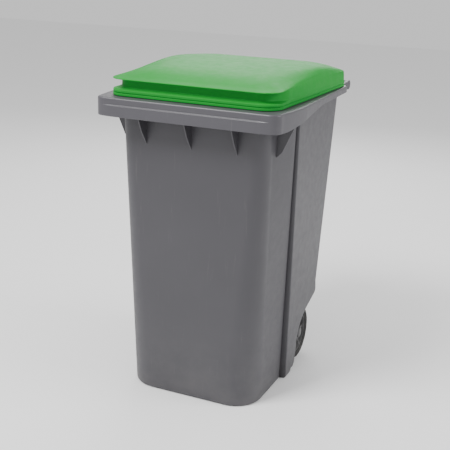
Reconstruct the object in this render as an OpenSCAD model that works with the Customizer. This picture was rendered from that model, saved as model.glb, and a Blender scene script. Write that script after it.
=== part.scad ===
// Two-wheeled refuse bin with a comb-lift rim, rear grips and a hinged lid.
// Millimetres, +Z up, +Y to the rear, origin on the ground under the middle of the bounding box.

/* [Rim] */
// Height of the rim's top face above the ground
rim_z = 1030; // [940:10:1080]
// Width of the rim at its front corners
rim_front_w = 620; // [590:2:640]
// Width of the rim where it is widest
rim_w = 664; // [650:2:720]
// Width of the rim at its rear corners
rim_rear_w = 636; // [620:2:650]
// Depth of the rim from front face to rear face
rim_depth = 720; // [640:5:780]
// Distance from the front face back to the widest place of the rim
rim_flare = 205; // [150:5:240]
// Corner radius of the rim
rim_corner = 34; // [20:2:50]
// Height of the rim's skirt at the front and along the flare
skirt_front = 60; // [45:1:75]
// Height of the rim's skirt at the rear
skirt_rear = 22; // [18:1:30]
// Thickness of the rim's top plate
rim_plate = 6; // [4:0.5:8]
// How far the rim's top plate reaches inwards past the tub's wall, under the lid's edge
ledge = 14; // [8:1:24]
// How far the pressing band stands out of the rim's front face
band_out = 4; // [2:0.5:6]
// Drop from the rim's top face to the pressing band
band_drop = 25; // [18:1:32]

/* [Tub] */
// Wall thickness of the tub and the rim's skirt
wall = 5; // [3:0.5:7]
// Thickness of the floor
floor_t = 7; // [5:1:10]
// Width of the narrow front part at the ground
front_base_w = 478; // [440:2:500]
// Width of the narrow front part at the rim
front_top_w = 522; // [500:2:560]
// Width of the wide rear part at the ground
rear_base_w = 524; // [504:2:540]
// Width of the wide rear part at the rim
rear_top_w = 602; // [580:2:610]
// Set-back of the front wall from the rim's front face, at the rim
setback_top = 64; // [50:1:80]
// Set-back of the front wall from the rim's front face, at the ground
setback_base = 70; // [60:1:100]
// Front corner radius at the ground
corner_base = 100; // [60:5:120]
// Front corner radius at the rim
corner_top = 42; // [30:1:60]
// Rear corner radius
rear_corner = 30; // [20:1:40]
// Depth of the side step at the ground
step_base = 20; // [12:1:26]
// Depth of the side step at the rim
step_top = 6; // [4:1:12]
// Distance from the rim's front face back to the step, at the ground
step_back_base = 350; // [300:5:370]
// Distance from the rim's front face back to the step, at the rim
step_back_top = 237; // [220:5:260]
// Distance from the rim's front face back to the rear wall, at the rim
rear_wall_top = 664; // [630:2:680]
// Height of the overhang above the wheels
overhang_z = 250; // [240:5:300]

/* [Lid] */
// Height of the lid's rear edge above the rim
lid_rise = 80; // [72:1:100]
// How far the lid's crown stands above a straight line from its front to its rear
lid_crown = 14; // [6:1:20]
// Height of the underside of the lid's front lip above the rim
lip_z = 53; // [44:1:64]
// Wall thickness of the lid
lid_wall = 4; // [2.5:0.5:5]
// Set-back of the lid's front edge from the rim's front face
lid_setback = 36; // [28:1:50]
// Set-back of the lid's sides from the rim's sides at its widest place
lid_side_gap = 34; // [26:1:44]
// Set-back of the lid's sides from the rim's sides at the rear
lid_rear_gap = 5; // [4:1:26]
// Depth of the hand recess under the lid's front lip
recess = 24; // [16:1:30]
// Gap between the rim and the lid's lower edge
lid_gap = 2; // [1.5:0.5:4]

/* [Hinge and grips] */
// Distance from the rim's rear face back to the hinge axis
hinge_out = 78; // [70:1:95]
// Drop from the rim's top face to the hinge axis
hinge_drop = 10; // [4:1:14]
// Diameter of the grip bars
grip_d = 32; // [28:1:36]
// Distance from the middle to a grip's inner lug
lug_in = 156; // [140:1:180]
// Distance from the middle to a grip's outer lug
lug_out = 286; // [270:1:296]
// Thickness of the lugs
lug_t = 10; // [8:1:14]
// Width of the lid's hinge knuckles
knuckle_w = 46; // [30:1:60]
// Diameter of the hinge pins
pin_d = 14; // [10:0.5:18]

/* [Wheels] */
// Diameter of the tyres
wheel_d = 200; // [180:5:210]
// Width of the tyres
wheel_w = 50; // [40:1:56]
// Distance from the middle to a tyre's outer face
wheel_out = 241; // [236:1:246]
// Distance from the rim's front face back to the axle
axle_back = 546; // [540:2:560]
// Diameter of the axle
axle_d = 20; // [16:1:25]
// Radial clearance of the running fits
run_fit = 0.1; // [0.05:0.01:0.1]

/* [Hidden] */
$fn = 64;
arc_n = 6;           // segments in a front corner of a lofted outline
rear_arc_n = 4;      // segments in a rear corner of a lofted outline
eps = 0.01;
seat_gap = 0.3;      // clearance of faces that rest on each other on different bodies

grip_r = grip_d / 2;
depth = rim_depth + hinge_out + grip_r + band_out;
y_front = -depth / 2 + band_out;
y_rear = y_front + rim_depth;
hinge_y = y_rear + hinge_out;
hinge_z = rim_z - hinge_drop;
axle_y = y_front + axle_back;
axle_r = axle_d / 2;
axle_z = wheel_d / 2;
wheel_in = wheel_out - wheel_w;
pin_r = pin_d / 2;
plate_z = rim_z - rim_plate;
skirt_front_z = rim_z - skirt_front;
skirt_rear_z = rim_z - skirt_rear;

// The rear wall in side view, from the ground up: the lower part clears the wheels.
arch_gap = 14;       // radial room between the tyres and the tub
arch_r = wheel_d / 2 + arch_gap;
rear_low = [                                     // [height, y]
    [0, axle_y - arch_r - 20],
    [axle_z * 0.5, axle_y - arch_r - 10],
    [axle_z * 1.1, axle_y - arch_r],
    [axle_z + arch_r * sin(45), axle_y - arch_r * cos(45) - 3],
    [axle_z + arch_r, axle_y - arch_r * 0.3],
    [overhang_z, y_front + rear_wall_top - 28]];
rear_wall = concat(rear_low, [[rim_z, y_front + rear_wall_top]]);

function mix(a, b, t) = a + (b - a) * t;
function smooth(t) = let (c = max(0, min(1, t))) c * c * (3 - 2 * c);
function arc(c, r, a0, a1, n = arc_n) =
    [for (i = [0:n]) c + r * [cos(mix(a0, a1, i / n)), sin(mix(a0, a1, i / n))]];
function both_sides(half) =
    concat(half, [for (i = [len(half) - 1:-1:0]) [-half[i][0], half[i][1]]]);
function flat(outline, z) = [for (p = outline) [p[0], p[1], z]];

// The tub's plan outline at height z, moved inwards by inset. back is the rear wall's y there.
function tub_outline(z, inset, back) =
    let (h = z / rim_z,
         front = y_front + mix(setback_base, setback_top, h),
         half_f = mix(front_base_w, front_top_w, h) / 2,
         half_r = mix(rear_base_w, rear_top_w, h) / 2,
         half_s = half_r - mix(step_base, step_top, h),
         step_y = y_front + mix(step_back_base, step_back_top, h),
         r = mix(corner_base, corner_top, h))
    both_sides(concat(
        arc([half_f - r, front + r], r - inset, -90, 0),
        [[half_s - inset, step_y], [half_r - inset, step_y + 8]],
        arc([half_r - rear_corner, back - rear_corner], rear_corner - inset, 0, 90, rear_arc_n)));
function outer_ring(z, inset = 0) = flat(tub_outline(z, inset, lookup(z, rear_wall)), z);

// The rear wall's inner side is the outer profile moved in along its normals.
function unit(v) = v / norm(v);
function normal(i) = let (d = unit(rear_wall[i + 1] - rear_wall[i])) [d[1], -d[0]];
function inner_profile(i) =
    let (a = normal(max(0, i - 1)), b = normal(min(len(rear_wall) - 2, i)))
    rear_wall[i] + wall * (a + b) / (1 + a * b);
inner_wall = concat([[floor_t, inner_profile(0)[1]]],
    [for (i = [1:len(rear_wall) - 2]) inner_profile(i)], [[rim_z + 1, rear_wall[6][1] - wall]]);
function inner_ring(z) = flat(tub_outline(z, wall, lookup(z, inner_wall) + wall), z);

// Half width of the rim at distance s behind its front face.
function rim_half(s) =
    mix(rim_front_w, rim_w, sin(90 * min(1, s / rim_flare))) / 2
    - (rim_w - rim_rear_w) / 2 * max(0, (s - rim_flare) / (rim_depth - rim_flare));
// The rim's plan outline, moved inwards by inset.
function rim_outline(inset) =
    let (r = rim_corner, s0 = rim_corner, s1 = rim_depth - rim_corner, x0 = rim_half(s0), x1 = rim_half(s1))
    both_sides(concat(
        arc([x0 - r, y_front + r], r - inset, -90, 0),
        [for (i = [1:9]) let (s = mix(s0, s1, i / 10)) [rim_half(s) - inset, y_front + s]],
        arc([x1 - r, y_rear - r], r - inset, 0, 90)));

// A closed solid through rings of equal length, listed from the bottom up, each running anticlockwise.
module loft(rings) {
    n = len(rings[0]);
    m = len(rings);
    polyhedron([for (r = rings) each r], concat(
        [[for (j = [0:n - 1]) j]],
        [for (i = [0:m - 2], j = [0:n - 1])
            let (a = i * n + j, b = i * n + (j + 1) % n) each [[a, a + n, b], [b, a + n, b + n]]],
        [[for (j = [n - 1:-1:0]) (m - 1) * n + j]]), convexity = 8);
}
// A plate of thickness t, centred on x, drawn in the side view as [y, z] points.
module side_plate(x, t) {
    translate([x - t / 2, 0, 0]) rotate([90, 0, 90]) linear_extrude(t) children();
}
module along_x(x0, x1, r, y, z) {
    translate([x0, y, z]) rotate([0, 90, 0]) cylinder(h = x1 - x0, r = r);
}

// Outer skin that partly covers each wheel, in line with the rear part's side.
cheek_t = wall - 1.5;
cheek_in = 0.75;       // how far the skin's face lies behind the tub's side
module cheek() {
    lean = atan((rear_top_w - rear_base_w) / 2 / rim_z);
    translate([rear_base_w / 2 - cheek_in, 0, 0]) rotate([0, lean, 0]) translate([-cheek_t, 0, 0])
        rotate([90, 0, 90]) linear_extrude(cheek_t) polygon([
            [rear_low[0][1] - rear_corner, 14], [rear_low[1][1] + 4, 14], [rear_low[1][1] + 10, axle_z * 0.5],
            [axle_y - arch_r + 18, axle_z * 0.98], [axle_y - 6, axle_z + arch_r + 4],
            [axle_y + 20, overhang_z - 10], [axle_y + 20, overhang_z + 16], [rear_low[2][1] - rear_corner, overhang_z]]);
}
// The tub's outside as a full solid, up to its top edge.
tub_rings = concat([outer_ring(0, 7), outer_ring(3, 2), outer_ring(9)],
    [for (i = [1:5]) outer_ring(rear_wall[i][0])], [outer_ring(plate_z)]);
module tub_core() { loft(tub_rings); }
module tub() {
    color("#6c6b70") loft(concat(tub_rings, [inner_ring(plate_z)],
        [for (i = [5:-1:0]) inner_ring(inner_wall[i][0])]));
}
module wheel_skins() {
    color("#6c6b70") for (s = [0, 1]) difference() {
        mirror([s, 0, 0]) cheek();
        tub_core();
    }
}
skirt_rise_from = 70;     // rim's front face back to where the skirt's lower edge starts to rise
skirt_rise_to = 390;      // and to where it is level again
module comb_rim() {
    color("#77777d") difference() {
        union() {
            translate([0, 0, skirt_front_z]) linear_extrude(skirt_front) polygon(rim_outline(0));
            translate([-(rim_front_w / 2 - rim_corner), y_front - band_out, skirt_front_z])
                cube([rim_front_w - 2 * rim_corner, band_out + wall, skirt_front - band_drop]);
        }
        translate([0, 0, skirt_front_z - eps]) linear_extrude(skirt_front - rim_plate + eps)
            polygon(rim_outline(wall));
        translate([0, 0, skirt_front_z - 1]) linear_extrude(skirt_front + 2)
            polygon(tub_outline(plate_z, wall + ledge, lookup(plate_z, rear_wall)));
        // the skirt's lower edge rises towards the rear
        rise_from = y_front + skirt_rise_from;
        rise_to = y_front + skirt_rise_to;
        side_plate(0, rim_w + 20) polygon([[rise_from, skirt_front_z - 1], [rise_from, skirt_front_z],
            [rise_to, skirt_rear_z], [y_rear + 10, skirt_rear_z], [y_rear + 10, skirt_front_z - 1]]);
    }
}
// Gussets between the tub and the rim's skirt: the teeth that a comb lifter enters between.
rib_t = 4;
rib_drop = 92;       // how far the gussets reach below the skirt
rib_x = [0, 160];
side_rib_y = y_front + setback_top + 74;
side_rib_drop = 98;  // the same for the side gussets
module front_rib(x) {
    wall_y = y_front + mix(setback_base, setback_top, plate_z / rim_z);
    tip_z = skirt_front_z - rib_drop;
    tip_y = y_front + mix(setback_base, setback_top, tip_z / rim_z);
    side_plate(x, rib_t) polygon([[wall_y, plate_z], [tip_y, tip_z], [tip_y - 4, tip_z + 6],
        [y_front + wall, skirt_front_z + 8], [y_front + wall, plate_z]]);
}
function side_x(z) = let (h = z / rim_z, a = mix(front_base_w, front_top_w, h) / 2,
    b = mix(rear_base_w, rear_top_w, h) / 2 - mix(step_base, step_top, h),
    y0 = y_front + mix(setback_base, setback_top, h) + mix(corner_base, corner_top, h),
    y1 = y_front + mix(step_back_base, step_back_top, h))
    mix(a, b, max(0, (side_rib_y + rib_t / 2 - y0) / (y1 - y0)));
module side_rib() {
    tip_z = skirt_front_z - side_rib_drop;
    reach = rim_half(side_rib_y - rib_t / 2 - y_front);
    translate([0, side_rib_y + rib_t / 2, 0]) rotate([90, 0, 0]) linear_extrude(rib_t)
        polygon([[side_x(plate_z) - wall, plate_z], [side_x(tip_z) - wall, tip_z], [side_x(tip_z) + 1, tip_z],
            [side_x(tip_z) + 19, tip_z + 16], [reach, skirt_front_z + 13], [reach, plate_z]]);
}
module comb_ribs() {
    color("#68676c") {
        for (x = rib_x, s = x == 0 ? [1] : [-1, 1]) front_rib(s * x);
        for (s = [0, 1]) difference() {
            intersection() {
                mirror([s, 0, 0]) side_rib();
                linear_extrude(plate_z) polygon(rim_outline(wall));
            }
            tub_core();
        }
    }
}
// A grip bar between two lugs that stand out of the rim and the rear wall.
module grip() {
    lug_r = grip_r + 3;
    brace_z = skirt_rear_z - 90;
    side_plate(lug_in + lug_t / 2, lug_t) polygon([
        [lookup(brace_z, rear_wall), brace_z], [hinge_y - lug_r * 0.4, hinge_z - lug_r * 0.9],
        [hinge_y, hinge_z], [hinge_y - lug_r * 0.2, hinge_z + lug_r * 0.9],
        [y_rear, rim_z - 1], [y_rear, skirt_rear_z], [lookup(skirt_rear_z, rear_wall), skirt_rear_z]]);
    // the outer lug carries the skirt on to the bar, no taller than the skirt
    side_plate(lug_out + lug_t / 2, lug_t) polygon([
        [y_rear - rim_corner / 4, skirt_rear_z + 1], [hinge_y, hinge_z - grip_r + 0.5],
        [hinge_y, hinge_z + grip_r - 0.5], [y_rear, rim_z - 1], [y_rear - rim_corner / 4, rim_z - 1]]);
    for (x = [lug_in, lug_out]) along_x(x, x + lug_t, grip_r, hinge_y, hinge_z);
    along_x(lug_in + lug_t - eps, lug_out + eps, grip_r - 1, hinge_y, hinge_z);
}
module right_grip() {
    color("#6c6b70") difference() {
        grip();
        along_x(lug_in - 1, lug_in + lug_t + 8, pin_r + 0.05, hinge_y, hinge_z);
        translate([0, 0, skirt_rear_z]) linear_extrude(skirt_rear) polygon(rim_outline(0));
    }
}
module left_grip() { mirror([1, 0, 0]) right_grip(); }

// Webs under the overhang that carry the axle, tied by a tube round it.
web_t = 8;
housing_half = wheel_in - 7;
module axle_housing() {
    boss_r = axle_r + 8;
    color("#626167") difference() {
        union() {
            for (x = [-housing_half + web_t / 2, -60, 60, housing_half - web_t / 2])
                side_plate(x, web_t) polygon([for (i = [1:4]) [rear_low[i][1], rear_low[i][0]],
                    [axle_y + boss_r * 0.8, axle_z + boss_r * 0.6], [axle_y + boss_r * 0.5, axle_z - boss_r * 0.8],
                    [axle_y - boss_r * 0.5, axle_z - boss_r * 0.8]]);
            along_x(-housing_half, housing_half, boss_r, axle_y, axle_z);
        }
        along_x(-housing_half - 1, housing_half + 1, axle_r + run_fit, axle_y, axle_z);
    }
}
hub_end = wheel_out - 6;          // outer end of the hub's boss
axle_end = wheel_out - 1.5;
module axle() {
    color("silver") union() {
        along_x(-axle_end + 1.5, axle_end - 1.5, axle_r, axle_y, axle_z);
        for (s = [0, 1]) mirror([s, 0, 0]) translate([axle_end - 1.5, axle_y, axle_z])
            rotate([0, 90, 0]) cylinder(h = 1.5, r1 = axle_r, r2 = axle_r - 1.5);
    }
}
module ring(x, t, r_in, r_out) {
    difference() {
        along_x(x, x + t, r_out, axle_y, axle_z);
        along_x(x - 1, x + t + 1, r_in, axle_y, axle_z);
    }
}
module right_washer() { color("#b8bcc0") ring(housing_half + seat_gap, 2.5, axle_r + run_fit, axle_r + 8); }
module left_washer() { mirror([1, 0, 0]) right_washer(); }
module right_retaining_ring() { color("#9a9da0") ring(hub_end + seat_gap, 1.2, axle_r + 0.02, axle_r + 5); }
module left_retaining_ring() { mirror([1, 0, 0]) right_retaining_ring(); }

// Hinge pin: pushed outwards through the lid's knuckle into the grip's lug.
knuckle_out = lug_in - 2;
knuckle_in = knuckle_out - knuckle_w;
module right_hinge_pin() {
    color("#303034") {
        along_x(knuckle_in - 1, lug_in + lug_t + 6, pin_r, hinge_y, hinge_z);
        along_x(knuckle_in - 5, knuckle_in - 1, pin_r + 4, hinge_y, hinge_z);
    }
}
module left_hinge_pin() { mirror([1, 0, 0]) right_hinge_pin(); }

// Lid: rings from the lower edge to the crown. Each level is [height, side inset, front inset, rise to the rear].
lid_bottom = rim_z + lid_gap;
lid_front = y_front + lid_setback;
lid_back = y_rear - 8;
lid_corner = 62;
lid_rear_corner = 40;
function lid_half(y) =
    let (s = max(rim_flare, y - y_front))
    rim_half(s) - mix(lid_side_gap, lid_rear_gap, (s - rim_flare) / (rim_depth - rim_flare))
    - 6 * (1 - smooth((y - lid_front) / 300));
function lid_outline(side_in, front_in, wrap) =
    let (r = lid_corner, rb = lid_rear_corner, n = 6,
         y0 = lid_front + r, y1 = lid_back - rb,
         base = concat(arc([lid_half(y0) - r, y0], r, -90, 0),
             [for (i = [1:n]) let (y = mix(y0, y1, i / n - 0.5 / n)) [lid_half(y), y]],
             arc([lid_half(y1) - rb, y1], rb, 0, 90)),
         centre_y = (lid_front + lid_back) / 2)
    both_sides([for (p = base)
        let (w = 1 - smooth((p[1] - lid_front - 30) / wrap),
             inset = mix(side_in, front_in, w),
             sx = 1 - inset / lid_half(lid_back), sy = 1 - (p[1] < centre_y ? inset : side_in) / (lid_back - centre_y))
        [p[0] * sx, centre_y + (p[1] - centre_y) * sy]]);
// k is [front height, rear height, side inset, front inset, wrap, crown, droop]: wrap is how far back the front
// inset reaches, crown the rise at mid-depth and droop the fall at the rear corners.
function lid_ring(k) = [for (p = lid_outline(k[2], k[3], k[4]))
    let (v = (p[1] - lid_front) / (lid_back - lid_front), u = abs(p[0]) / lid_half(lid_back))
    [p[0], p[1], rim_z + mix(k[0], k[1], v) + k[5] * 4 * v * (1 - v)
        - k[6] * smooth((u - 0.53) / 0.43) * smooth((v - 0.6) / 0.4)]];
c = lid_crown;
lid_skin = [[lid_gap, lid_gap, 0, 0, 90, 0, 0], [19, 19, 1, 0, 90, 0, 0], [25, 25, 2, recess - 2, 90, 0, 0],
    [lip_z - 8, lid_rise - 33, 3, recess, 90, 0, 0], [lip_z, lid_rise - 25, 5, 0, 90, 0, 0],
    [lip_z + 3, lid_rise - 18, 10, 0, 200, 0.2 * c, 4], [lip_z + 6, lid_rise - 12, 17, 26, 400, 0.65 * c, 8],
    [lip_z + 9, lid_rise - 7, 26, 46, 450, c, 12], [lip_z + 11, lid_rise - 4, 40, 70, 450, 1.3 * c, 13],
    [lip_z + 14, lid_rise - 2, 66, 100, 450, 1.36 * c, 10], [lip_z + 19, lid_rise - 1, 130, 150, 450, 1.15 * c, 4],
    [lip_z + 21, lid_rise - 0.5, 200, 215, 450, 1.07 * c, 1], [lip_z + 22, lid_rise, 262, 270, 450, c, 0]];
w = lid_wall;
lid_hollow = [[lid_gap, lid_gap, w, w, 90, 0, 0], [15, 15, w + 1, w, 90, 0, 0],
    [22, 22, w + 2, recess + w, 90, 0, 0], [lip_z - 8, lid_rise - 35, w + 4, recess + w, 90, 0, 0],
    [lip_z - 2, lid_rise - 27, w + 6, recess + w + 3, 90, 0, 0],
    [lip_z + 0.5, lid_rise - 21, w + 10, recess + w + 8, 200, 0.2 * c, 4],
    [lip_z + 2.5, lid_rise - 16, w + 16, 46, 400, 0.65 * c, 8],
    [lip_z + 4.5, lid_rise - 11.5, w + 24, 60, 450, c, 12], [lip_z + 6.5, lid_rise - 8.5, w + 37, 82, 450, 1.3 * c, 13],
    [lip_z + 9.5, lid_rise - 6.5, w + 63, 110, 450, 1.36 * c, 10],
    [lip_z + 14.5, lid_rise - 5.5, w + 128, 156, 450, 1.15 * c, 4],
    [lip_z + 16.5, lid_rise - 5, 202, 218, 450, 1.07 * c, 1], [lip_z + 17.5, lid_rise - 4.5, 262, 270, 450, c, 0]];
module knuckle_arm() {
    rise = 40;
    difference() {
        union() {
            side_plate((knuckle_in + knuckle_out) / 2, knuckle_w) polygon([[lid_back - 2, rim_z + 6],
                [lid_back - 6, rim_z + rise], [hinge_y - 20, hinge_z + 26], [hinge_y, hinge_z + grip_r - 1],
                [hinge_y - grip_r * 0.9, hinge_z - 2], [hinge_y - 40, rim_z + 4]]);
            along_x(knuckle_in, knuckle_out, grip_r - 1, hinge_y, hinge_z);
        }
        along_x(knuckle_in - 1, knuckle_out + 1, pin_r + run_fit, hinge_y, hinge_z);
    }
}
module rest_pad(x, y) {
    translate([x, y, rim_z + seat_gap]) cylinder(h = lid_wall + 8, r = 6);
}
module lid() {
    color("#35a24f") {
        loft(concat([for (i = [len(lid_hollow) - 1:-1:0]) lid_ring(lid_hollow[i])],
            [for (k = lid_skin) lid_ring(k)]));
        for (s = [0, 1]) mirror([s, 0, 0]) {
            knuckle_arm();
            rest_pad(lid_half(lid_front + 120) - 8, lid_front + 120);
            rest_pad(lid_half(lid_back - 100) - 8, lid_back - 100);
        }
    }
}

// Wheel: a solid rubber tyre on a spoked plastic hub.
rim_r = wheel_d * 0.38;           // seat between hub and tyre
bond = 0.05;
module wheel_profile() {
    translate([0, axle_y, axle_z]) rotate([0, 90, 0]) rotate_extrude($fn = 96) children();
}
module right_tyre() {
    r = wheel_d / 2;
    e = 7;
    color("#1b1b1d") wheel_profile() polygon(concat(
        [[rim_r + bond, wheel_in + 3]],
        arc([r - e, wheel_in + e], e, -90, 0, 6), [[r, wheel_in + wheel_w / 2 - 3], [r - 2, wheel_in + wheel_w / 2 - 1],
        [r - 2, wheel_in + wheel_w / 2 + 1], [r, wheel_in + wheel_w / 2 + 3]],
        arc([r - e, wheel_out - e], e, 0, 90, 6), [[rim_r + bond, wheel_out - 3]]));
}
module left_tyre() { mirror([1, 0, 0]) right_tyre(); }
module right_hub() {
    spokes = 6;
    rim_t = 5;
    boss_r = axle_r + 10;
    mid = (wheel_in + wheel_out) / 2;
    color("#2a2a2d") difference() {
        union() {
            wheel_profile() polygon([[rim_r - rim_t, wheel_in + 5], [rim_r, wheel_in + 5],
                [rim_r, wheel_out - 5], [rim_r - rim_t, wheel_out - 5]]);
            wheel_profile() polygon([[boss_r - 4, mid - 3], [rim_r - rim_t + 1, mid - 3],
                [rim_r - rim_t + 1, mid + 3], [boss_r - 4, mid + 3]]);
            along_x(housing_half + 3.2, hub_end, boss_r, axle_y, axle_z);
            ring(hub_end - 2, 7, boss_r, boss_r + 5);
            for (i = [0:spokes - 1]) translate([0, axle_y, axle_z]) rotate([i * 360 / spokes, 0, 0])
                translate([wheel_in + 8, -3, boss_r - 2]) cube([wheel_w - 16, 6, rim_r - rim_t - boss_r + 3]);
        }
        along_x(wheel_in - 10, wheel_out + 5, axle_r + run_fit, axle_y, axle_z);
        for (i = [0:spokes - 1]) translate([0, axle_y, axle_z]) rotate([(i + 0.5) * 360 / spokes, 0, 0])
            translate([wheel_in, 0, (boss_r + rim_r) / 2 + 1]) rotate([0, 90, 0]) cylinder(h = wheel_w, r = 12);
    }
}
module left_hub() { mirror([1, 0, 0]) right_hub(); }
module right_hub_cap() {
    boss_r = axle_r + 10;
    color("#232326") wheel_profile() polygon([[0, wheel_out + 0.5], [axle_r + 6, wheel_out + 0.5],
        [axle_r + 6, hub_end], [boss_r - 0.05, hub_end], [boss_r - 0.05, wheel_out + 1], [boss_r - 4, wheel_out + 3],
        [0, wheel_out + 4]]);
}
module left_hub_cap() { mirror([1, 0, 0]) right_hub_cap(); }

tub();
comb_rim();
comb_ribs();
left_grip();
right_grip();
axle_housing();
axle();
wheel_skins();
left_washer();
right_washer();
left_retaining_ring();
right_retaining_ring();
left_hinge_pin();
right_hinge_pin();
lid();
left_tyre();
right_tyre();
left_hub();
right_hub();
left_hub_cap();
right_hub_cap();
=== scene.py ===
"""Two-wheeled refuse bin: smooth moulded surfaces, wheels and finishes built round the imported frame."""
import math

import bpy
import numpy as np
from mathutils import Matrix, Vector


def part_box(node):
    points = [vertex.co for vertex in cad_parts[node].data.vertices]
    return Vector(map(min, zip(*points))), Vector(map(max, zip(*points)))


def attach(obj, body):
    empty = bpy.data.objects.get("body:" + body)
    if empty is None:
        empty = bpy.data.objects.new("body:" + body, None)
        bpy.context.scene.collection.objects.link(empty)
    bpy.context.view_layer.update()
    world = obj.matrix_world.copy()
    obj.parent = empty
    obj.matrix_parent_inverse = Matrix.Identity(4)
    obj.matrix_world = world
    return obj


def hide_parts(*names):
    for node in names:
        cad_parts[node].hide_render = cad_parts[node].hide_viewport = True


bl_info = {
    "name": "Two-wheeled refuse bin",
    "version": (1, 0, 0),
    "blender": (4, 5, 0),
    "location": "3D View > Sidebar > Refuse bin",
    "description": "Builds the moulded body, lid, wheels and finishes of a two-wheeled refuse bin",
    "category": "Add Mesh",
}

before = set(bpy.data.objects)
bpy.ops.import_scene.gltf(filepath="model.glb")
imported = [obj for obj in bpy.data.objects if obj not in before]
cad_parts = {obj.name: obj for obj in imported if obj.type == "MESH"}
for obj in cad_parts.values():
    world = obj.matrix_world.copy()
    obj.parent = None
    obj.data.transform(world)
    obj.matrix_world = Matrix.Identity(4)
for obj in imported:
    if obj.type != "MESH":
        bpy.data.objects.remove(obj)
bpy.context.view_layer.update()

# Places that the frame fixes, in metres.
RIM_LOW, RIM_HIGH = (np.array(corner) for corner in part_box("comb_rim"))
TUB_HIGH = np.array(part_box("tub")[1])
TYRE_LOW, TYRE_HIGH = (np.array(corner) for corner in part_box("right_tyre"))
HUB_LOW, HUB_HIGH = (np.array(corner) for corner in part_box("right_hub"))
CAP_LOW, CAP_HIGH = (np.array(corner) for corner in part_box("right_hub_cap"))
GRIP_HIGH = np.array(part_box("right_grip")[1])
HOUSING_HIGH = np.array(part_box("axle_housing")[1])
PIN_LOW, PIN_HIGH = (np.array(corner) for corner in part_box("right_hinge_pin"))
AXLE_LOW, AXLE_HIGH = (np.array(corner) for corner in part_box("axle"))

BAND_OUT = 0.004            # how far the rim's band stands out of its front face
LID_GAP = 0.002             # the lid's lower edge above the rim
RIM_PAINTED_LIGHT = 1.35            # painted light: the tub's colour made paler by this multiple for the rim, to paint the light that falls on it
RIM_TOP = RIM_HIGH[2]
PLATE_Z = TUB_HIGH[2]
SKIRT_FRONT_Z = RIM_LOW[2]
FRONT_Y = RIM_LOW[1] + BAND_OUT
REAR_Y = RIM_HIGH[1]
WALL_REAR_Y = TUB_HIGH[1]
AXLE_Y = (TYRE_LOW[1] + TYRE_HIGH[1]) / 2
AXLE_Z = (TYRE_LOW[2] + TYRE_HIGH[2]) / 2
WHEEL_R = (TYRE_HIGH[2] - TYRE_LOW[2]) / 2
AXLE_R = (AXLE_HIGH[2] - AXLE_LOW[2]) / 2
HINGE_Y = (PIN_LOW[1] + PIN_HIGH[1]) / 2
HINGE_Z = (PIN_LOW[2] + PIN_HIGH[2]) / 2
GRIP_R = GRIP_HIGH[2] - HINGE_Z


def size(name, description, default):
    """A length property in metres."""
    return bpy.props.FloatProperty(
        name=name, description=description, default=default, min=0.0, precision=4,
        subtype="DISTANCE", unit="LENGTH")


def colour(name, description, default):
    """A colour property, linear red, green and blue."""
    return bpy.props.FloatVectorProperty(
        name=name, description=description, default=default, min=0.0, max=1.0, size=3, subtype="COLOR")


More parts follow.
